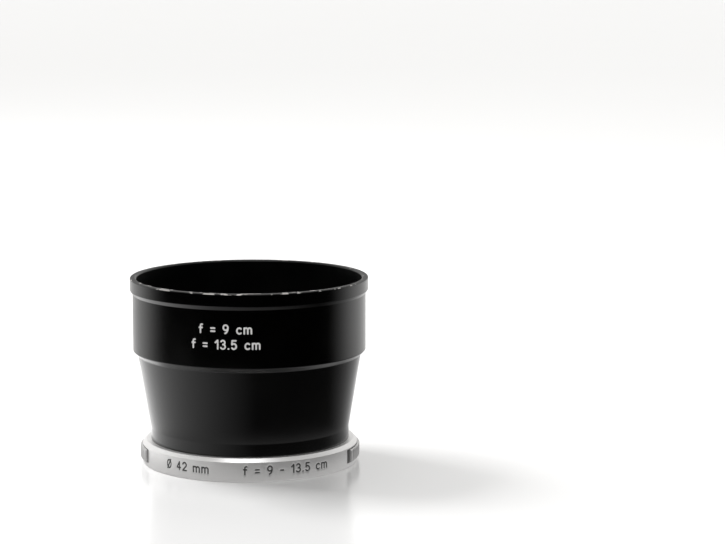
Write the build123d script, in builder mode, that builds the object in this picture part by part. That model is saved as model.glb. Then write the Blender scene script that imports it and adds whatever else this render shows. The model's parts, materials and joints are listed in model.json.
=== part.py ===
"""Clip-on hood for a 42 mm lens ring.

A black tapered shell with a wider front barrel stands on a bright mount ring.
A button in each side of that ring turns a flat lever about an upright screw, and the
claw on the lever's far end then draws back out of the groove in the lens ring.

Millimetres and degrees. +Z runs from the rear face to the front opening, the origin is
the centre of the rear face, and the buttons lie on the X axis. A bearing is an angle
about the Z axis, counted from +X towards +Y.
"""

from math import acos, atan2, cos, degrees, radians, sin, sqrt
import os

from build123d import *

# ---------------------------------------------------------------- driving dimensions
total_height = 44.0
lens_ring_r = 21.0  # the ring of the lens that the hood clips on
fit_gap = 0.05  # between parts that slide or turn
seat_gap = 0.02  # between parts that are screwed down on each other

# shell
wall = 0.9
foot_r = 23.5  # a short upright band below the cone
cone_foot_z = 8.3
cone_top_r = 26.4
cone_top_z = 25.6
barrel_r = 27.55
bead_r = 28.15
bead_foot_z = 40.2
bead_side_z = 41.1
lip_round = 0.25
lip_bevel = 0.3
flange_thickness = 1.1
inner_step = 0.2  # the shoulder sits a little higher inside the shell

# mount ring
ring_r = 25.5
ring_top_z = 5.4
ring_bevel = 0.85
ring_foot_bevel = 0.25
seat_r = lens_ring_r + fit_gap
seat_foot_z = 2.9
seat_top_z = 4.9
entry_r = 21.4
stop_r = 20.2
neck_r = 21.6
neck_top_z = 8.0
channel_inner_r = 22.0
channel_outer_r = 24.7
channel_roof_z = 4.3

# rear cover and its screws
cover_thickness = 0.9
cover_edge_bevel = 0.1
screw_circle_r = 23.35
screw_head_r = 1.05
screw_sink = 0.05
countersink_angle = 90.0
screw_slot_width = 0.3
screw_slot_depth = 0.2
cover_screw_bearing = -45.0  # from the button round to the screw
cover_screw_r = 0.5
cover_screw_point_r = 0.35
cover_screw_shank_z = 3.1
cover_screw_top_z = 3.4
pivot_r = 0.55
pivot_thread_r = 0.4
pivot_tip_z = 5.0
boss_half_angle = 4.0

# buttons
button_r = 26.05
button_inner_r = 24.65
button_half_angle = 22.0
button_foot_z = 1.1
button_top_z = 4.15
button_bevel = 0.25
tongue_inner_r = 23.2
tongue_near_angle = 33.0  # the tongue reaches towards the pivot
tongue_far_angle = 20.0
window_foot_z = 1.0
window_near_gap = 0.6
window_far_gap = 2.4  # a pressed button swings this way
serration_count = 17
serration_pitch = 2.3
serration_depth = 0.22
serration_width = 0.6
rivet_r = 0.4
rivet_circle_r = 23.9
rivet_bearings = (-10.0, 10.0)
rivet_head_r = 0.55
rivet_head_height = 0.2

# levers, each with a button at one end and a claw at the other
pivot_bearing = 45.0  # from the button round to the pivot
claw_bearing = 90.0  # from the button round to the claw
lever_foot_z = 1.5
lever_top_z = 2.6
lever_tail_inner_r = 23.05
lever_tail_outer_r = 24.6
lever_arm_inner_r = channel_inner_r + fit_gap
lever_arm_outer_r = 23.4
hub_r = 1.25
bush_r = 0.9
bush_foot_z = 0.96
bush_top_z = 4.24
claw_tip_r = 20.55
claw_half_angle = 12.0
claw_bevel = 0.3
claw_slot_half_angle = 15.0
claw_slot_foot_z = 1.35
claw_slot_top_z = 2.75

# return springs
wire_r = 0.125
coil_r = 1.1
coil_foot_z = 3.15
coil_pitch = 0.28
coil_turns = 2
button_leg_bearing = -13.0
wall_leg_bearing = 14.0

# lock ring
lock_ring_inner_r = neck_r + seat_gap
lock_ring_outer_r = 22.4
lock_ring_top_z = 7.9
spanner_slot_width = 1.4
spanner_slot_depth = 0.8

# ---------------------------------------------------------------- worked-out dimensions
barrel_foot_z = cone_top_z + barrel_r - cone_top_r
flange_top_z = ring_top_z + flange_thickness
sink_r = screw_head_r + screw_sink  # the countersink's mouth

# the two catches are alike, half a turn apart
sides = {"left": 180.0, "right": 0.0}
pivot_bearings = [start + pivot_bearing for start in sides.values()]
cover_screw_bearings = [start + cover_screw_bearing for start in sides.values()]


# ---------------------------------------------------------------- helpers
def polar(radius, bearing):
    """The point at a radius and a bearing."""
    return radius * cos(radians(bearing)), radius * sin(radians(bearing))


def sector(inner, outer, start, end):
    """Draws a sector of a flat ring in the open sketch."""
    with BuildLine() as outline:
        CenterArc((0, 0), inner, start, end - start)
        CenterArc((0, 0), outer, start, end - start)
        Line(polar(inner, start), polar(outer, start))
        Line(polar(inner, end), polar(outer, end))
    make_face(outline.edges())


def spots(radius, bearings):
    """The places at one radius and several bearings, for holes and pins."""
    return Locations(*[polar(radius, bearing) for bearing in bearings])


def on_screw_circle(part, bearing):
    """Moves a part from the Z axis to the screw circle, its +X side outwards."""
    return Location((*polar(screw_circle_r, bearing), 0), (0, 0, bearing)) * part


def screw(shank_r, tip_r, shank_top_z, tip_z):
    """Makes a countersunk, slotted screw that stands on the Z axis, head down."""
    with BuildPart() as stock:
        with BuildSketch(Plane.XZ):
            with BuildLine():
                Polyline(
                    (0, screw_sink),
                    (screw_head_r, screw_sink),
                    (shank_r, screw_sink + screw_head_r - shank_r),
                    (shank_r, shank_top_z),
                    (tip_r, shank_top_z),
                    (tip_r, tip_z),
                    (0, tip_z),
                    close=True,
                )
            make_face()
        revolve(axis=Axis.Z)
        with BuildSketch(Plane.XY.offset(screw_sink)):
            Rectangle(2 * screw_head_r, screw_slot_width)
        extrude(amount=screw_slot_depth, mode=Mode.SUBTRACT)
    return stock.part


def torsion_spring():
    """Makes a return spring round the Z axis, with the hood's own axis on its -X side.

    Both legs leave the coil on that side. One presses outwards on the button's tongue and
    the other on the ring's outer wall.
    """
    legs, angles = [], []
    for radius, bearing, sense in (
        (tongue_inner_r - wire_r - seat_gap, button_leg_bearing, -1),
        (channel_outer_r - wire_r - seat_gap, wall_leg_bearing, 1),
    ):
        x, y = polar(radius, bearing)
        tip = Vector(x - screw_circle_r, y)
        # each leg lies on the tangent from its tip to the coil
        legs.append(sqrt(tip.length**2 - coil_r**2))
        angles.append(degrees(atan2(tip.Y, tip.X) + sense * acos(coil_r / tip.length)) % 360)
    turned = coil_turns + (angles[0] - angles[1]) / 360
    with BuildPart() as spring:
        with BuildLine() as wire:
            coil = Helix(coil_pitch, coil_pitch * turned, coil_r, lefthand=True)
            Line(coil @ 0 - legs[0] * (coil % 0), coil @ 0)
            Line(coil @ 1, coil @ 1 + legs[1] * (coil % 1))
        path = wire.wire()
        with BuildSketch(Plane(origin=path @ 0, z_dir=path % 0)):
            Circle(wire_r)
        sweep(path=path, is_frenet=True)
    return Location((0, 0, coil_foot_z), (0, 0, angles[0])) * spring.part


def save(part, name):
    """Labels a finished piece and writes it as its own STEP file."""
    part.label = name
    export_step(part, f"parts/{name}.step")


os.makedirs("parts", exist_ok=True)

# ---------------------------------------------------------------- shell
with BuildPart() as hood_shell:
    with BuildSketch(Plane.XZ):
        with BuildLine():
            Polyline(
                (bead_r, bead_side_z),
                (barrel_r, bead_foot_z),
                (barrel_r, barrel_foot_z),
                (cone_top_r, cone_top_z),
                (foot_r, cone_foot_z),
                (foot_r, ring_top_z),
                (neck_r + fit_gap, ring_top_z),
                (neck_r + fit_gap, flange_top_z),
                (foot_r - wall, flange_top_z),
                (foot_r - wall, cone_foot_z + inner_step),
                (cone_top_r - wall, cone_top_z + inner_step),
                (barrel_r - wall, barrel_foot_z + inner_step),
                (barrel_r - wall, total_height - lip_bevel),
                (barrel_r - wall + lip_bevel, total_height),
                (bead_r - lip_round, total_height),
            )
            # the front lip's rounded edge and the bead's side
            CenterArc((bead_r - lip_round, total_height - lip_round), lip_round, 0, 90)
            Line((bead_r, total_height - lip_round), (bead_r, bead_side_z))
        make_face()
    revolve(axis=Axis.Z)
save(hood_shell.part, "hood_shell")

# ---------------------------------------------------------------- mount ring
with BuildPart() as mount_ring:
    with BuildSketch(Plane.XZ):
        with BuildLine():
            Polyline(
                (ring_r - ring_bevel, ring_top_z),
                (neck_r, ring_top_z),
                (neck_r, neck_top_z),
                (stop_r, neck_top_z),
                (stop_r, seat_top_z),
                (seat_r, seat_top_z),
                (seat_r, seat_foot_z),
                (entry_r, seat_foot_z),
                (entry_r, cover_thickness),
                (channel_inner_r, cover_thickness),
                (channel_inner_r, channel_roof_z),
                (channel_outer_r, channel_roof_z),
                (channel_outer_r, 0),
                (ring_r - ring_foot_bevel, 0),
                (ring_r, ring_foot_bevel),
                (ring_r, ring_top_z - ring_bevel),
                close=True,
            )
        make_face()
    revolve(axis=Axis.Z)
    # bosses in the channel take the cover's screws
    with BuildSketch(Plane.XY.offset(cover_thickness)):
        for bearing in cover_screw_bearings:
            low, high = bearing - boss_half_angle, bearing + boss_half_angle
            sector(channel_inner_r, channel_outer_r, low, high)
    extrude(amount=channel_roof_z - cover_thickness)
    with BuildSketch(Plane.XY.offset(cover_thickness)):
        with spots(screw_circle_r, cover_screw_bearings):
            Circle(cover_screw_r)
    extrude(amount=cover_screw_top_z - cover_thickness, mode=Mode.SUBTRACT)
    with BuildSketch(Plane.XY.offset(channel_roof_z)):
        with spots(screw_circle_r, pivot_bearings):
            Circle(pivot_thread_r)
    extrude(amount=pivot_tip_z - channel_roof_z, mode=Mode.SUBTRACT)
    # a window in the outer wall for each button
    with BuildSketch(Plane.XY.offset(window_foot_z)):
        for start in sides.values():
            low = start - button_half_angle - window_far_gap
            high = start + button_half_angle + window_near_gap
            sector(channel_outer_r - fit_gap, ring_r + fit_gap, low, high)
    extrude(amount=channel_roof_z - window_foot_z, mode=Mode.SUBTRACT)
    # a slot in the bore's wall for each claw
    with BuildSketch(Plane.XY.offset(claw_slot_foot_z)):
        for start in sides.values():
            low = start + claw_bearing - claw_slot_half_angle
            high = start + claw_bearing + claw_slot_half_angle
            sector(seat_r, channel_inner_r + fit_gap, low, high)
    extrude(amount=claw_slot_top_z - claw_slot_foot_z, mode=Mode.SUBTRACT)
save(mount_ring.part, "mount_ring")

# ---------------------------------------------------------------- rear cover
with BuildPart() as rear_cover:
    with BuildSketch():
        Circle(channel_outer_r - fit_gap)
        Circle(entry_r, mode=Mode.SUBTRACT)
    extrude(amount=cover_thickness)
    chamfer(rear_cover.faces().sort_by(Axis.Z)[0].edges(), cover_edge_bevel)
    for hole_r, bearings in ((cover_screw_r, cover_screw_bearings), (pivot_r, pivot_bearings)):
        for bearing in bearings:
            with Locations(Plane(origin=(*polar(screw_circle_r, bearing), 0), z_dir=(0, 0, -1))):
                CounterSinkHole(hole_r + seat_gap, sink_r, cover_thickness, countersink_angle)
save(rear_cover.part, "rear_cover")

# ---------------------------------------------------------------- lock ring
with BuildPart() as lock_ring:
    with BuildSketch(Plane.XY.offset(flange_top_z + seat_gap)):
        Circle(lock_ring_outer_r)
        Circle(lock_ring_inner_r, mode=Mode.SUBTRACT)
    extrude(amount=lock_ring_top_z - flange_top_z - seat_gap)
    with BuildSketch(Plane.XY.offset(lock_ring_top_z)):
        Rectangle(2 * ring_r, spanner_slot_width)
    extrude(amount=-spanner_slot_depth, mode=Mode.SUBTRACT)
save(lock_ring.part, "lock_ring")

# ---------------------------------------------------------------- the two catches
pivot_screw = screw(pivot_r, pivot_thread_r, channel_roof_z, pivot_tip_z)
cover_screw = screw(cover_screw_r, cover_screw_point_r, cover_screw_shank_z, cover_screw_top_z)
return_spring = torsion_spring()

for side, start in sides.items():
    pivot = polar(screw_circle_r, start + pivot_bearing)
    rivet_spots = [start + bearing for bearing in rivet_bearings]
    save(on_screw_circle(pivot_screw, start + pivot_bearing), f"pivot_screw_{side}")
    save(on_screw_circle(return_spring, start + pivot_bearing), f"return_spring_{side}")
    save(on_screw_circle(cover_screw, start + cover_screw_bearing), f"cover_screw_{side}")

    with BuildPart() as lever:
        with BuildSketch(Plane.XY.offset(lever_foot_z)):
            low = start - tongue_far_angle
            middle = start + pivot_bearing
            high = start + claw_bearing + claw_half_angle
            sector(lever_tail_inner_r, lever_tail_outer_r, low, middle)
            sector(lever_arm_inner_r, lever_arm_outer_r, middle, high)
            with Locations(pivot):
                Circle(hub_r)
                Circle(bush_r, mode=Mode.SUBTRACT)
            with spots(rivet_circle_r, rivet_spots):
                Circle(rivet_r, mode=Mode.SUBTRACT)
        extrude(amount=lever_top_z - lever_foot_z)
        with BuildSketch(Plane.XY.offset(lever_foot_z)):
            low = start + claw_bearing - claw_half_angle
            high = start + claw_bearing + claw_half_angle
            sector(claw_tip_r, lever_arm_outer_r, low, high)
        extrude(amount=lever_top_z - lever_foot_z)
        # the claw's lower lip is bevelled, so that a lens ring can push it aside
        claw_tip = polar(claw_tip_r, start + claw_bearing)
        lip = lever.edges().filter_by(GeomType.CIRCLE).sort_by_distance((*claw_tip, lever_foot_z))[0]
        chamfer(lip, claw_bevel)
    save(lever.part, f"lever_{side}")

    with BuildPart() as pivot_bush:
        with BuildSketch(Plane((*pivot, bush_foot_z))):
            Circle(bush_r)
            Circle(pivot_r + fit_gap, mode=Mode.SUBTRACT)
        extrude(amount=bush_top_z - bush_foot_z)
    save(pivot_bush.part, f"pivot_bush_{side}")

    with BuildPart() as button:
        with BuildSketch(Plane.XY.offset(button_foot_z)):
            sector(button_inner_r, button_r, start - button_half_angle, start + button_half_angle)
        extrude(amount=button_top_z - button_foot_z)
        outer_face = button.faces().sort_by_distance((*polar(button_r, start), button_foot_z))[0]
        chamfer(outer_face.edges(), button_bevel)
        with BuildSketch(Plane.XY.offset(lever_top_z)):
            low, high = start - tongue_far_angle, start + tongue_near_angle
            sector(tongue_inner_r, button_inner_r, low, high)
        extrude(amount=button_top_z - lever_top_z)
        # upright V grooves for the fingertip
        with BuildSketch(Plane.XY.offset(button_foot_z)):
            for index in range(serration_count):
                bearing = start + (index - (serration_count - 1) / 2) * serration_pitch
                half = degrees(serration_width / 2 / button_r)
                with BuildLine() as groove:
                    Polyline(
                        polar(button_r - serration_depth, bearing),
                        polar(button_r + fit_gap, bearing - half),
                        polar(button_r + fit_gap, bearing + half),
                        close=True,
                    )
                make_face(groove.edges())
        extrude(amount=button_top_z - button_foot_z, mode=Mode.SUBTRACT)
        with BuildSketch(Plane.XY.offset(lever_top_z)):
            with spots(rivet_circle_r, rivet_spots):
                Circle(rivet_r)
        extrude(amount=button_top_z - lever_top_z, mode=Mode.SUBTRACT)
    save(button.part, f"button_{side}")

    # each rivet's head is under the lever, and its end is filed flush with the tongue
    for number, bearing in enumerate(rivet_spots, 1):
        with BuildPart() as rivet:
            with BuildSketch(Plane.XY.offset(lever_foot_z)):
                with spots(rivet_circle_r, [bearing]):
                    Circle(rivet_r)
            extrude(amount=button_top_z - lever_foot_z)
            with BuildSketch(Plane.XY.offset(lever_foot_z)):
                with spots(rivet_circle_r, [bearing]):
                    Circle(rivet_head_r)
            extrude(amount=-rivet_head_height)
        save(rivet.part, f"button_rivet_{side}_{number}")
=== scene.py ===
import json
import math

import bmesh
import bpy
import numpy as np
from mathutils import Matrix, Vector


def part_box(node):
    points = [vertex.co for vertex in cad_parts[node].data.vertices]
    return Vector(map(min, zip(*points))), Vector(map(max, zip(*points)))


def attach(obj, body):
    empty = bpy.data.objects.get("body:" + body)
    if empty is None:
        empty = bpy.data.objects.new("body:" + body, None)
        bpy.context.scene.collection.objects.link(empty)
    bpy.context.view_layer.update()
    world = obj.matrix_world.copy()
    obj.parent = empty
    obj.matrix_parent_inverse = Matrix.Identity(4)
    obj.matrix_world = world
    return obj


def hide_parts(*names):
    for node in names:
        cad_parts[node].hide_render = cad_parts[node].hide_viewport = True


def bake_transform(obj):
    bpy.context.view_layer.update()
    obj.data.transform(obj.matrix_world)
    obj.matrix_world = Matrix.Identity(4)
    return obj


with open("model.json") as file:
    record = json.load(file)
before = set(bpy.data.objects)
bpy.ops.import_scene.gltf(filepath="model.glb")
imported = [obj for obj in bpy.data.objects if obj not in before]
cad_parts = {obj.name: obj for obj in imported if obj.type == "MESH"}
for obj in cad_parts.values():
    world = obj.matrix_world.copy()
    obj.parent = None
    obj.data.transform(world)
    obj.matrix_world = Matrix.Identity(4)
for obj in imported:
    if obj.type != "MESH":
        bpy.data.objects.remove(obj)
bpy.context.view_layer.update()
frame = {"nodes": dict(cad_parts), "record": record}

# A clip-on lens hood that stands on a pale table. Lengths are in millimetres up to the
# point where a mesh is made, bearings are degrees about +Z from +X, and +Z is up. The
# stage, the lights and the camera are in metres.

MM = 0.001
SAME = 1e-6  # two lengths closer than this are the same
SIDES = {"left": 180.0, "right": 0.0}  # where each button sits

# ------------------------------------------------------------------ sizes of the shell
WALL = 0.9
INNER_STEP = 0.2  # the steps sit a little higher inside the wall
FOOT_R, CONE_FOOT_Z = 23.5, 8.3
CONE_TOP_R, CONE_TOP_Z = 26.4, 25.6
BARREL_R, BEAD_R = 27.55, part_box("hood_shell")[1].x / MM
BARREL_FOOT_Z = CONE_TOP_Z + BARREL_R - CONE_TOP_R
BEAD_FOOT_Z, BEAD_SIDE_Z, TOP_Z = 40.2, 41.1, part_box("hood_shell")[1].z / MM
FLANGE_R, FLANGE_TOP_Z = 21.65, 6.5
LIP_ROUND, LIP_BEVEL = 0.25, 0.3

# ------------------------------------------------------------------ sizes of the ring
RING_R, RING_TOP_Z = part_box("mount_ring")[1].x / MM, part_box("hood_shell")[0].z / MM
RING_BEVEL = 0.85
COVER_TOP_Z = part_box("rear_cover")[1].z / MM
NECK_R, NECK_TOP_Z, STOP_R = 21.6, 8.0, 20.2
SEAT_R, SEAT_FOOT_Z, SEAT_TOP_Z = 21.05, 2.9, 4.9
ENTRY_R = 21.4
CHANNEL_INNER_R, CHANNEL_OUTER_R, CHANNEL_ROOF_Z = 22.0, 24.7, 4.3
WINDOW_FOOT_Z, WINDOW_NEAR, WINDOW_FAR = 1.0, 22.6, 24.4
CLAW_BEARING, CLAW_SLOT_HALF, CLAW_SLOT_Z = 90.0, 15.0, (1.35, 2.75)

# ------------------------------------------------------------------ engraved marks
BARREL_MARK_BEARING, RING_MARK_BEARING = 260.8, 270.0
BARREL_LINES = (("f = 9 cm", 35.85), ("f = 13.5 cm", 32.3))  # and the height of each
BARREL_MARK_HEIGHT, BARREL_STROKE = 1.92, 0.4  # of a capital, and of its line
RING_LINES = (("Ø 42 mm      f = 9 - 13.5 cm", 2.75),)
RING_MARK_HEIGHT, RING_STROKE = 1.85, 0.36
MARK_DEPTH = 0.07
MARK_GRID = 0.12  # spacing of the mesh where there are marks
BARREL_FINE_HALF, RING_FINE_HALF = 25.0, 48.0  # degrees of fine mesh either side of them
COARSE_STEP = 1.5  # degrees between bearings elsewhere
NO_MARK = 1.0  # what counts as far from any mark

# ------------------------------------------------------------------ wear
EDGE_REACH = 0.25  # how far bare metal spreads from the lip's two corners

# ------------------------------------------------------------------ camera
CAMERA_PLACE = (0.0268, -0.594, 0.1329)
CAMERA_DIP = 8.42  # degrees below level
CAMERA_LENS, SENSOR_WIDTH = 126.1, 36.0  # mm


# ================================================================== profiles
def rounded(corners, steps=5):
    """A closed outline of (radius, height) points, with each corner rounded to its size."""
    points = []
    count = len(corners)
    for i, (r, z, size) in enumerate(corners):
        here = np.array((r, z))
        if size == 0:
            points.append(here)
            continue
        before = np.array(corners[i - 1][:2]) - here
        after = np.array(corners[(i + 1) % count][:2]) - here
        before /= np.linalg.norm(before)
        after /= np.linalg.norm(after)
        half = math.acos(np.clip(before @ after, -1, 1)) / 2
        bisector = (before + after) / np.linalg.norm(before + after)
        centre = here + bisector * size / math.sin(half)
        first = here + before * size / math.tan(half) - centre
        last = here + after * size / math.tan(half) - centre
        swing = math.pi - 2 * half
        for k in range(steps + 1):
            t = k / steps
            spread = math.sin((1 - t) * swing) * first + math.sin(t * swing) * last
            points.append(centre + spread / math.sin(swing))
    return points


def supported(points, reach=0.12):
    """Adds a point near both ends of each long run, so that a flat stays flat in shading."""
    result = []
    for a, b in zip(points, points[1:] + points[:1]):
        result.append(a)
        length = np.linalg.norm(b - a)
        if length > 3 * reach:
            result.append(a + (b - a) * reach / length)
            result.append(b - (b - a) * reach / length)
    return result


def with_heights(points, radius, heights):
    """Adds points at these heights wherever the outline runs straight up at this radius."""
    result = []
    for a, b in zip(points, points[1:] + points[:1]):
        result.append(a)
        if abs(a[0] - radius) < SAME and abs(b[0] - radius) < SAME:
            low, high = sorted((a[1], b[1]))
            inside = [h for h in heights if low + SAME < h < high - SAME]
            result += [np.array((radius, h)) for h in sorted(inside, reverse=bool(a[1] > b[1]))]
    return result


def shell_profile():
    """The shell's section, from its foot up the outside and back down the inside."""
    points = supported(rounded((
        (FOOT_R, RING_TOP_Z, 0.08),
        (FOOT_R, CONE_FOOT_Z, 1.5),
        (CONE_TOP_R, CONE_TOP_Z, 0.3),
        (BARREL_R, BARREL_FOOT_Z, 0.35),
        (BARREL_R, BEAD_FOOT_Z, 0.1),
        (BEAD_R, BEAD_SIDE_Z, 0.3),
        (BEAD_R, TOP_Z, LIP_ROUND),
        (BARREL_R - WALL + LIP_BEVEL, TOP_Z, 0.1),
        (BARREL_R - WALL, TOP_Z - LIP_BEVEL, 0.1),
        (BARREL_R - WALL, BARREL_FOOT_Z + INNER_STEP, 0.5),
        (CONE_TOP_R - WALL, CONE_TOP_Z + INNER_STEP, 0.5),
        (FOOT_R - WALL, CONE_FOOT_Z + INNER_STEP, 1.5),
        (FOOT_R - WALL, FLANGE_TOP_Z, 0.2),
        (FLANGE_R, FLANGE_TOP_Z, 0.05),
        (FLANGE_R, RING_TOP_Z, 0.05),
    )))
    margin = BARREL_MARK_HEIGHT * 0.75
    low, high = BARREL_LINES[-1][1] - margin, BARREL_LINES[0][1] + margin
    return with_heights(points, BARREL_R, np.arange(low, high, MARK_GRID))


def ring_profile():
    """The mount ring's section, from its outer foot up and round to its channel."""
    points = supported(rounded((
        (RING_R, 0, 0.22),
        (RING_R, RING_TOP_Z - RING_BEVEL, 0.15),
        (RING_R - RING_BEVEL, RING_TOP_Z, 0.15),
        (NECK_R, RING_TOP_Z, 0.05),
        (NECK_R, NECK_TOP_Z, 0.15),
        (STOP_R, NECK_TOP_Z, 0.15),
        (STOP_R, SEAT_TOP_Z, 0.08),
        (SEAT_R, SEAT_TOP_Z, 0.05),
        (SEAT_R, SEAT_FOOT_Z, 0.08),
        (ENTRY_R, SEAT_FOOT_Z, 0.04),
        (ENTRY_R, COVER_TOP_Z, 0.04),
        (CHANNEL_INNER_R, COVER_TOP_Z, 0.04),
        (CHANNEL_INNER_R, CHANNEL_ROOF_Z, 0.04),
        (CHANNEL_OUTER_R, CHANNEL_ROOF_Z, 0),
        (CHANNEL_OUTER_R, 0, 0.08),
    )), reach=0.07)
    margin = RING_MARK_HEIGHT * 0.6
    low, high = RING_LINES[0][1] - margin, RING_LINES[0][1] + margin
    points = with_heights(points, RING_R, np.arange(low, high, MARK_GRID))
    points = with_heights(points, RING_R, (WINDOW_FOOT_Z, CHANNEL_ROOF_Z))
    points = with_heights(points, CHANNEL_OUTER_R, (WINDOW_FOOT_Z,))
    for radius in (ENTRY_R, CHANNEL_INNER_R):
        points = with_heights(points, radius, CLAW_SLOT_Z)
    return points


# ================================================================== round meshes
def bearings_with(marked, half_width, spacing, extra=()):
    """Bearings round a full turn: close together about a marked one, and far apart
    elsewhere, with any extra ones that the shape needs."""
    fine = np.arange(marked - half_width, marked + half_width, spacing)
    coarse = np.arange(marked + half_width, marked + 360 - half_width, COARSE_STEP)
    every = np.concatenate((fine, coarse)) % 360
    every = [b for b in every if all(abs(b - e % 360) > spacing / 2 for e in extra)]
    return np.array(sorted(every + [e % 360 for e in extra]))


def turned(profile, bearings, sink=None):
    """Vertices of a turned solid as a grid, one column for each bearing and one row for each
    outline point. sink(radius, height, bearing) moves a point inwards."""
    r, z = np.array(profile).T
    b, rr = np.meshgrid(bearings, r, indexing="ij")
    zz = np.broadcast_to(z, rr.shape)
    if sink:
        rr = rr - sink(rr, zz, b)
    a = np.radians(b)
    return np.stack((rr * np.cos(a), rr * np.sin(a), zz), axis=-1)


def mesh_object(name, vertices, faces):
    """Makes a smooth-shaded mesh object from points in millimetres."""
    mesh = bpy.data.meshes.new(name)
    mesh.from_pydata((np.asarray(vertices) * MM).tolist(), [], faces)
    mesh.validate()
    mesh.shade_smooth()
    bm = bmesh.new()
    bm.from_mesh(mesh)
    bmesh.ops.recalc_face_normals(bm, faces=bm.faces)
    bm.to_mesh(mesh)
    bm.free()
    obj = bpy.data.objects.new(name, mesh)
    bpy.context.scene.collection.objects.link(obj)
    return obj


def grid_faces(columns, rows, holes=()):
    """Quads of a grid that closes both ways round, less the cells in holes, which are
    (set of columns, set of rows) pairs."""
    faces = []
    for i in range(columns):
        for k in range(rows):
            if any(i in c and k in r for c, r in holes):
                continue
            j, m = (i + 1) % columns, (k + 1) % rows
            faces.append((i * rows + k, j * rows + k, j * rows + m, i * rows + m))
    return faces


def tube_walls(bearings, profile, low_bearing, high_bearing, outer_r, inner_r, low_z, high_z):
    """Opens a window through the wall between two radii of a turned grid. Returns the two
    holes in the grid and the four walls that line the window."""
    rows, columns = len(profile), len(bearings)
    span = (high_bearing - low_bearing) % 360
    past_low = (bearings - low_bearing + SAME) % 360
    order = [i for i in range(columns) if past_low[i] <= span + 2 * SAME]
    order.sort(key=lambda i: past_low[i])
    holes, edges = [], []
    for radius in (outer_r, inner_r):
        run = [k for k, (r, z) in enumerate(profile)
               if abs(r - radius) < SAME and low_z - SAME <= z <= high_z + SAME]
        run.sort(key=lambda k: profile[k][1])
        cells = {k for k in range(rows) if k in run and (k + 1) % rows in run}
        holes.append((set(order[:-1]), cells))
        edges.append(run)
    outer, inner = edges
    walls = []
    for a, b in zip(order, order[1:]):
        for ko, ki in ((outer[0], inner[0]), (outer[-1], inner[-1])):
            walls.append((a * rows + ko, b * rows + ko, b * rows + ki, a * rows + ki))
    for i in (order[0], order[-1]):
        walls.append([i * rows + k for k in outer] + [i * rows + k for k in reversed(inner)])
    return holes, walls


def sharpen(obj, angle=40):
    """Keeps edges sharper than this angle crisp."""
    for edge in obj.data.edges:
        edge.use_edge_sharp = False
    obj.data.set_sharp_from_angle(angle=math.radians(angle))


# ================================================================== marks
def bow(x, y, rx, ry, start, end):
    """Points along part of an ellipse, from one angle to another in degrees."""
    steps = max(3, int(abs(end - start) / 12))
    angles = [math.radians(start + (end - start) * k / steps) for k in range(steps + 1)]
    return [(x + rx * math.cos(a), y + ry * math.sin(a)) for a in angles]


# Each mark is its width and its strokes, for a capital one unit high.
GLYPHS = {
    " ": (0.33, []),
    "-": (0.4, [[(0, 0.42), (0.4, 0.42)]]),
    ".": (0.04, [[(0, 0.02), (0.04, 0.02)]]),
    "=": (0.45, [[(0, 0.6), (0.45, 0.6)], [(0, 0.24), (0.45, 0.24)]]),
    "1": (0.28, [[(0, 0.74), (0.28, 1), (0.28, 0)]]),
    "2": (0.56, [bow(0.28, 0.71, 0.27, 0.29, 165, -35) + [(0, 0), (0.56, 0)]]),
    "3": (0.54, [bow(0.26, 0.76, 0.24, 0.24, 150, -90) + bow(0.26, 0.27, 0.28, 0.27, 90, -150)]),
    "4": (0.58, [[(0.42, 0), (0.42, 1), (0, 0.27), (0.58, 0.27)]]),
    "5": (0.54, [[(0.5, 1), (0.07, 1), (0.03, 0.53)] + bow(0.26, 0.32, 0.28, 0.32, 135, -145)]),
    "9": (0.56, [bow(0.28, 0.7, 0.28, 0.3, 0, 360) + bow(0.12, 0.7, 0.44, 0.7, 0, -78)]),
    "c": (0.5, [bow(0.29, 0.34, 0.29, 0.34, 48, 312)]),
    "f": (0.4, [bow(0.34, 0.8, 0.2, 0.2, 75, 180) + [(0.14, 0)], [(0, 0.62), (0.36, 0.62)]]),
    "m": (0.84, [[(0, 0), (0, 0.68)], bow(0.21, 0.47, 0.21, 0.21, 180, 0) + [(0.42, 0)],
                 bow(0.63, 0.47, 0.21, 0.21, 180, 0) + [(0.84, 0)]]),
    "Ø": (0.68, [bow(0.34, 0.5, 0.34, 0.5, 0, 360), [(0.04, -0.06), (0.64, 1.06)]]),
}


def line_segments(text, height, gap=0.37):
    """The straight bits of a line of marks, centred on the origin, as (x0, y0, x1, y1)."""
    segments, x = [], 0.0
    for letter in text:
        width, strokes = GLYPHS[letter]
        for stroke in strokes:
            for (x0, y0), (x1, y1) in zip(stroke, stroke[1:]):
                segments.append((x + x0, y0, x + x1, y1))
        x += width + gap
    shift = np.array(((x - gap) / 2, 0.5, (x - gap) / 2, 0.5))
    return (np.array(segments) - shift) * height


def distance_to_marks(u, v, segments):
    """How far each point (u, v) is from the nearest stroke's middle, up to NO_MARK."""
    points = np.stack((u, v), axis=-1)
    nearest = np.full(u.shape, NO_MARK)
    for x0, y0, x1, y1 in segments:
        start, run = np.array((x0, y0)), np.array((x1 - x0, y1 - y0))
        t = np.clip(((points - start) @ run) / max(run @ run, 1e-12), 0, 1)
        gap = np.linalg.norm(points - start - t[..., None] * run, axis=-1)
        nearest = np.minimum(nearest, gap)
    return nearest


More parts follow.
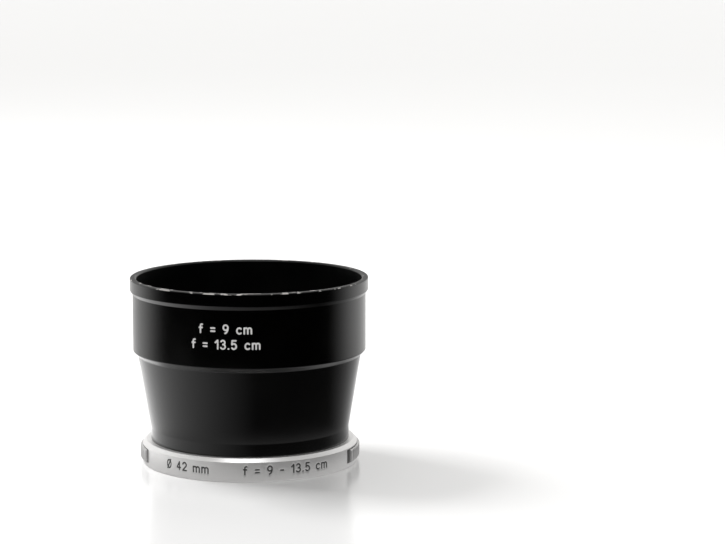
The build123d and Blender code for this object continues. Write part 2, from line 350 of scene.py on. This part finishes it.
def marks_on(radius, centre, lines, height, stroke):
    """Returns how far points are from the marks, and how deep the engraving is there."""
    segments = []
    for text, z in lines:
        segments.append(line_segments(text, height) + np.array((0, z, 0, z)))
    segments = np.concatenate(segments)

    def distance(r, z, bearing):
        turn = (bearing - centre + 180) % 360 - 180
        gap = distance_to_marks(np.radians(turn) * radius, z, segments)
        return np.where(np.abs(r - radius) < SAME, gap, NO_MARK)

    def depth(r, z, bearing):
        # full in the middle third of a stroke, and none a little way past its edge
        inside = np.clip(1.35 - distance(r, z, bearing) / (stroke / 2), 0, 1)
        return MARK_DEPTH * inside * (2 - inside)

    return distance, depth


def point_values(obj, name, values):
    """Stores one number for each vertex, for the materials to read."""
    attribute = obj.data.attributes.new(name, "FLOAT", "POINT")
    attribute.data.foreach_set("value", np.ascontiguousarray(values, dtype=np.float32).ravel())


# ================================================================== material helpers
class Nodes:
    """A short way to write a material's nodes."""

    def __init__(self, name):
        self.material = bpy.data.materials.new(name)
        self.material.use_nodes = True
        self.tree = self.material.node_tree
        self.shader = self.tree.nodes["Principled BSDF"]
        self.place = self.new("ShaderNodeTexCoord").outputs["Object"]

    def new(self, kind, inputs=(), **settings):
        node = self.tree.nodes.new(kind)
        for key, value in settings.items():
            setattr(node, key, value)
        for key, value in dict(inputs).items():
            self.join(value, node.inputs[key])
        return node

    def join(self, value, socket):
        if isinstance(value, bpy.types.NodeSocket):
            self.tree.links.new(value, socket)
        else:
            socket.default_value = value

    def math(self, operation, *values):
        node = self.new("ShaderNodeMath", operation=operation)
        for value, socket in zip(values, node.inputs):
            self.join(value, socket)
        return node.outputs[0]

    def ramp(self, value, low, high, to_low=0.0, to_high=1.0):
        node = self.new("ShaderNodeMapRange", interpolation_type="SMOOTHSTEP", inputs={
            "Value": value, "From Min": low, "From Max": high, "To Min": to_low,
            "To Max": to_high})
        return node.outputs["Result"]

    def noise(self, scale, detail=2.0, vector=None, roughness=0.5):
        node = self.new("ShaderNodeTexNoise", inputs={
            "Vector": vector or self.place, "Scale": scale, "Detail": detail,
            "Roughness": roughness})
        return node.outputs["Fac"]

    def position(self):
        """A point's x, y and z, and its distance from the hood's axis."""
        parts = self.new("ShaderNodeSeparateXYZ", inputs={"Vector": self.place}).outputs
        squares = self.math("ADD", self.math("POWER", parts["X"], 2.0),
                            self.math("POWER", parts["Y"], 2.0))
        return parts["X"], parts["Y"], parts["Z"], self.math("SQRT", squares)

    def stretched(self, along, across):
        """Coordinates for a turned surface, stretched round the axis: the pattern changes
        slowly round the part and fast along its section."""
        x, y, z, radius = self.position()
        section = self.math("ADD", z, radius)
        return self.new("ShaderNodeCombineXYZ", inputs={
            "X": self.math("MULTIPLY", x, along),
            "Y": self.math("MULTIPLY", y, along),
            "Z": self.math("MULTIPLY", section, across)}).outputs[0]

    def mix(self, factor, first, second):
        """Mixes two colours. The node's colours are its inputs 6 and 7, and its output 2."""
        node = self.new("ShaderNodeMix", data_type="RGBA")
        self.join(factor, node.inputs["Factor"])
        for value, socket in ((first, node.inputs[6]), (second, node.inputs[7])):
            self.join(value, socket)
        return node.outputs[2]

    def attribute(self, name):
        return self.new("ShaderNodeAttribute", attribute_name=name).outputs["Fac"]

    def paint(self, stroke):
        """Where strokes of this width are filled with paint."""
        return self.ramp(self.attribute("mark"), stroke / 2 + 0.02, stroke / 2 - 0.03)

    def bump(self, height, distance, normal=None):
        """Relief, on top of another if there is one. The distance is in metres."""
        inputs = {"Height": height, "Distance": distance}
        if normal:
            inputs["Normal"] = normal
        return self.new("ShaderNodeBump", inputs=inputs).outputs[0]

    def finish(self, **sockets):
        """Sets the shader's sockets, whose names have _ for a space, and gives the material."""
        for name, value in sockets.items():
            self.join(value, self.shader.inputs[name.replace("_", " ")])
        return self.material


def grey(value, warmth=0.0):
    """A grey colour, warmer than neutral by this share."""
    return (value * (1 + warmth), value, value * (1 - warmth), 1.0)


# ================================================================== materials
def lacquer():
    """Black lacquer over brass: a faint orange peel, fine hairlines, white paint in the
    engraving, and a lip rubbed dull, with chips down to the bare metal."""
    n = Nodes("black_lacquer")
    peel = n.noise(900.0, 2.0)
    smudge = n.noise(70.0, 4.0)
    hairs = n.noise(1.0, 3.0, n.stretched(60.0, 5200.0), 0.7)
    chips = n.noise(1500.0, 3.0)
    paint = n.math("MULTIPLY", n.paint(BARREL_STROKE), n.ramp(chips, 0.24, 0.34))
    lip = n.attribute("lip")
    y = n.position()[1]
    wear = n.math("ADD", n.noise(560.0, 2.0), n.ramp(y, -0.008, -0.022, 0.0, 0.09))
    bare = n.math("MULTIPLY", n.ramp(n.attribute("edge"), 0.3, 0.6), n.ramp(wear, 0.60, 0.66))
    black = n.mix(n.ramp(smudge, 0.4, 0.75), grey(0.0005), grey(0.0012, 0.02))
    black = n.mix(n.math("MULTIPLY", lip, 0.5), black, grey(0.012, 0.02))
    white = n.mix(chips, grey(0.7, 0.01), grey(0.88, 0.01))
    colour = n.mix(bare, n.mix(paint, black, white), grey(0.6, 0.03))
    rough = n.ramp(smudge, 0.3, 0.8, 0.17, 0.25)
    rough = n.math("ADD", rough, n.math("MULTIPLY", paint, 0.35))
    rough = n.math("ADD", rough, n.math("MULTIPLY", lip, 0.4))
    relief = n.bump(peel, 0.000004)
    relief = n.bump(n.ramp(hairs, 0.62, 0.8), 0.000003, relief)
    return n.finish(Base_Color=colour, Roughness=rough, Metallic=bare, Normal=relief,
                    IOR=1.47)


def matt_black():
    """Flat black paint inside, with a fine grain and a little dust."""
    n = Nodes("matt_black")
    dust = n.ramp(n.noise(2600.0, 3.0), 0.62, 0.72, 0.0, 0.12)
    colour = n.mix(dust, grey(0.0008), grey(0.02, 0.03))
    return n.finish(Base_Color=colour, Roughness=n.ramp(n.noise(120.0, 3.0), 0.3, 0.7, 0.3, 0.4),
                    Normal=n.bump(n.noise(3000.0, 3.0), 0.00001), IOR=1.3)


def satin_chrome(name, tone=0.77, marked=False):
    """Satin chrome with a fine turned grain, and black paint where it is engraved."""
    n = Nodes(name)
    grain = n.noise(1.0, 2.0, n.stretched(45.0, 7000.0), 0.6)
    cloud = n.noise(90.0, 4.0)
    colour = n.mix(cloud, grey(tone * 0.94, 0.012), grey(tone * 1.04, 0.004))
    metal = 0.7
    rough = n.ramp(n.math("ADD", n.math("MULTIPLY", grain, 0.5), n.math("MULTIPLY", cloud, 0.5)),
                   0.3, 0.7, 0.31, 0.43)
    if marked:
        chips = n.ramp(n.noise(1700.0, 3.0), 0.26, 0.4, 0.35, 1.0)
        paint = n.math("MULTIPLY", n.paint(RING_STROKE), chips)
        colour = n.mix(paint, colour, grey(0.06))
        metal = n.math("MULTIPLY", n.math("SUBTRACT", 1.0, paint), metal)
        rough = n.math("ADD", rough, n.math("MULTIPLY", paint, 0.3))
    return n.finish(Base_Color=colour, Roughness=rough, Metallic=metal,
                    Normal=n.bump(grain, 0.0000025))


def plain_metal(name, low, high, roughness):
    """A worked metal: two tones of one colour, with fine tool marks."""
    n = Nodes(name)
    cloud = n.noise(600.0, 4.0)
    rough = n.ramp(cloud, 0.3, 0.7, roughness - 0.06, roughness + 0.1)
    return n.finish(Base_Color=n.mix(cloud, low, high), Roughness=rough, Metallic=1.0,
                    Normal=n.bump(n.noise(3600.0, 2.0), 0.000004))


def table_top():
    """A white, slightly glossy table."""
    n = Nodes("table_top")
    cloud = n.noise(6.0, 3.0)
    return n.finish(Base_Color=n.mix(cloud, grey(0.935, 0.001), grey(0.945)),
                    Roughness=0.18, IOR=1.45)


def table_light():
    """Painted reflection of the table: a glowing card, seen only in the hood's reflections, with
    painted light brightest behind on the left, where the key light falls, and painted shade in
    front on the right, except close to the hood, where it is an even middle brightness."""
    n = Nodes("table_light")
    # painted brightness of the table close to the hood
    near = 0.62
    x, y, _, radius = n.position()
    towards_key = n.math("DIVIDE", n.math("SUBTRACT", y, x), radius)
    # painted light and shade by bearing: bright towards the key light, dark in front on the right
    far = n.math("MAXIMUM", n.math("ADD", n.math("MULTIPLY", towards_key, 0.67), 0.78), 0.03)
    reach = n.ramp(radius, 0.034, 0.043)
    light = n.math("ADD", n.math("MULTIPLY", far, reach),
                   n.math("MULTIPLY", n.math("SUBTRACT", 1.0, reach), near))
    # the card glows though it is no lamp: its glow is the painted light of the table
    n.material.cycles.emission_sampling = "NONE"
    return n.finish(Base_Color=grey(0.0), Roughness=1.0, Emission_Color=grey(1.0, 0.004),
                    Emission_Strength=light)


# ================================================================== pieces
def make_shell(outside, inside):
    """The black shell, with the engraved lines on its barrel."""
    distance, depth = marks_on(BARREL_R, BARREL_MARK_BEARING, BARREL_LINES,
                               BARREL_MARK_HEIGHT, BARREL_STROKE)
    step = math.degrees(MARK_GRID / BARREL_R)
    bearings = bearings_with(BARREL_MARK_BEARING, BARREL_FINE_HALF, step)
    profile = shell_profile()
    points = turned(profile, bearings, depth)
    shell = mesh_object("shell", points.reshape(-1, 3), grid_faces(len(bearings), len(profile)))
    r, z = np.array(profile).T
    gap = distance(*np.broadcast_arrays(r[None, :], z[None, :], bearings[:, None]))
    point_values(shell, "mark", gap)
    lip = np.clip(1 - (TOP_Z - z) / LIP_BEVEL, 0, 1)
    corners = ((BARREL_R - WALL + LIP_BEVEL, TOP_Z), (BEAD_R, TOP_Z))
    near = np.min([np.hypot(r - corner_r, z - corner_z) for corner_r, corner_z in corners], axis=0)
    edge = np.exp(-(near / EDGE_REACH) ** 2)
    for name, values in (("lip", lip), ("edge", edge)):
        point_values(shell, name, np.broadcast_to(values, (len(bearings), len(profile))))
    shell.data.materials.append(outside)
    shell.data.materials.append(inside)
    for face in shell.data.polygons:
        outwards = face.center.xy.normalized().dot(face.normal.xy)
        faces_in = outwards < -0.3
        face.material_index = int(faces_in)
    return shell


def make_ring(outside, inside):
    """The bright mount ring, with its two button windows, claw slots and engraved line."""
    distance, depth = marks_on(RING_R, RING_MARK_BEARING, RING_LINES, RING_MARK_HEIGHT, RING_STROKE)
    windows = [(start - WINDOW_FAR, start + WINDOW_NEAR) for start in SIDES.values()]
    slots = [(start + CLAW_BEARING - CLAW_SLOT_HALF, start + CLAW_BEARING + CLAW_SLOT_HALF)
             for start in SIDES.values()]
    extra = [bearing for ends in windows + slots for bearing in ends]
    step = math.degrees(MARK_GRID / RING_R)
    bearings = bearings_with(RING_MARK_BEARING, RING_FINE_HALF, step, extra)
    profile = ring_profile()
    openings = [(*ends, RING_R, CHANNEL_OUTER_R, WINDOW_FOOT_Z, CHANNEL_ROOF_Z)
                for ends in windows]
    openings += [(*ends, CHANNEL_INNER_R, ENTRY_R, *CLAW_SLOT_Z) for ends in slots]
    holes, walls = [], []
    for opening in openings:
        cells, lining = tube_walls(bearings, profile, *opening)
        holes += cells
        walls += lining
    points = turned(profile, bearings, depth)
    faces = grid_faces(len(bearings), len(profile), holes) + walls
    ring = mesh_object("clip_ring", points.reshape(-1, 3), faces)
    r, z = np.array(profile).T
    gap = distance(*np.broadcast_arrays(r[None, :], z[None, :], bearings[:, None]))
    point_values(ring, "mark", gap)
    sharpen(ring)
    ring.data.materials.append(outside)
    ring.data.materials.append(inside)
    for face in ring.data.polygons:
        spot = face.center / MM
        in_neck = spot.z > SEAT_TOP_Z and math.hypot(spot.x, spot.y) < NECK_R + 0.3
        face.material_index = int(in_neck)
    return ring


def make_spring(side):
    """A return spring: the CAD's own shape, copied in place of the CAD part."""
    node = frame["nodes"][f"return_spring_{side}"]
    spring = bpy.data.objects.new(f"winding_spring_{side}", node.data.copy())
    spring.matrix_world = node.matrix_world
    bpy.context.scene.collection.objects.link(spring)
    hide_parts(node.name)
    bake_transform(spring)


# ================================================================== stage
def disc(name, radius, height, material):
    """A flat disc about the hood's axis, in metres, that belongs to the stage."""
    mesh = bpy.data.meshes.new(name)
    bm = bmesh.new()
    bmesh.ops.create_circle(bm, cap_ends=True, cap_tris=True, segments=96, radius=radius,
                            matrix=Matrix.Translation((0, 0, height)))
    bm.to_mesh(mesh)
    bm.free()
    obj = bpy.data.objects.new(name, mesh)
    mesh.materials.append(material)
    bpy.context.scene.collection.objects.link(obj)
    return obj


def make_stage():
    """A white table. What the hood reflects of it is a glowing card of its own, just below, painted
    with the table's light and shade.
    """
    table = disc("table", 12.0, -0.0001, table_top())
    table.visible_glossy = False
    # a glowing card with painted light and shade, seen only in reflections
    card = disc("glowing_reflection_card", 0.12, -0.0003, table_light())
    card.visible_camera = card.visible_diffuse = card.visible_shadow = False


def make_world():
    """A room that is bright behind and above the hood, and dark on the camera's side."""
    world = bpy.data.worlds.new("room")
    world.use_nodes = True
    bpy.context.scene.world = world
    tree = world.node_tree
    tree.nodes.clear()
    place = tree.nodes.new("ShaderNodeTexCoord").outputs["Generated"]
    parts = tree.nodes.new("ShaderNodeSeparateXYZ")
    tree.links.new(place, parts.inputs[0])

    def ramp(value, low, high, to_low, to_high):
        node = tree.nodes.new("ShaderNodeMapRange")
        node.interpolation_type = "SMOOTHSTEP"
        tree.links.new(value, node.inputs["Value"])
        for key, number in zip(("From Min", "From Max", "To Min", "To Max"),
                               (low, high, to_low, to_high)):
            node.inputs[key].default_value = number
        return node.outputs["Result"]

    behind = ramp(parts.outputs["Y"], -0.1, 0.6, 0.0, 1.1)
    above = ramp(parts.outputs["Z"], 0.25, 0.6, 0.0, 0.74)
    both = tree.nodes.new("ShaderNodeMath")
    both.operation = "MAXIMUM"
    tree.links.new(behind, both.inputs[0])
    tree.links.new(above, both.inputs[1])
    background = tree.nodes.new("ShaderNodeBackground")
    tree.links.new(both.outputs[0], background.inputs["Strength"])
    background.inputs["Color"].default_value = (1.0, 0.995, 0.985, 1.0)
    output = tree.nodes.new("ShaderNodeOutputWorld")
    tree.links.new(background.outputs[0], output.inputs["Surface"])


def make_light(name, place, aim, size, power, gloss):
    """A square soft box that faces a point. It lights gloss alone if gloss is True, and
    all but gloss if it isn't."""
    data = bpy.data.lights.new(name, "AREA")
    data.size = size
    data.energy = power
    light = bpy.data.objects.new(name, data)
    light.location = place
    light.rotation_euler = (Vector(aim) - light.location).to_track_quat("-Z", "Y").to_euler()
    light.visible_glossy = gloss
    light.visible_diffuse = not gloss
    bpy.context.scene.collection.objects.link(light)


def make_camera():
    """A long lens at the height and angle of the view, with the hood left of its middle."""
    data = bpy.data.cameras.new("camera")
    data.lens = CAMERA_LENS
    data.sensor_width = SENSOR_WIDTH
    camera = bpy.data.objects.new("camera", data)
    camera.location = CAMERA_PLACE
    camera.rotation_euler = (math.radians(90 - CAMERA_DIP), 0, 0)
    bpy.context.scene.collection.objects.link(camera)
    bpy.context.scene.camera = camera


# ================================================================== the scene
make_camera()

materials = {
    "black_lacquer": lacquer(),
    "satin_chrome": satin_chrome("satin_chrome"),
    "button_chrome": satin_chrome("button_chrome", 0.5),
    "black_brass": matt_black(),
    "screw_steel": plain_metal("screw_steel", grey(0.5), grey(0.62), 0.22),
    "lever_steel": plain_metal("lever_steel", grey(0.42), grey(0.55), 0.34),
    "spring_steel": plain_metal("spring_steel", grey(0.2, -0.1), grey(0.34, -0.08), 0.3),
    "brass": plain_metal("brass", (0.62, 0.42, 0.17, 1), (0.78, 0.56, 0.26, 1), 0.26),
}
ring_chrome = satin_chrome("ring_chrome", marked=True)
interior = matt_black()
for part in frame["record"]["subparts"]:
    node = frame["nodes"][part["node"]]
    node.data.materials.clear()
    node.data.materials.append(materials[part["material_slot"]])

shell = make_shell(materials["black_lacquer"], interior)
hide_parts("hood_shell")
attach(shell, "hood")

ring = make_ring(ring_chrome, interior)
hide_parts("mount_ring")
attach(ring, "hood")

for side in SIDES:
    make_spring(side)

make_stage()
make_world()
make_light("key", (-0.5, 0.3, 0.55), (-0.03, 0, 0), 0.4, 6.2, gloss=False)
make_light("overhead", (-0.028, -0.16, 0.58), (0, 0, 0), 0.17, 0.8, gloss=True)
bpy.context.scene.view_settings.view_transform = "Standard"
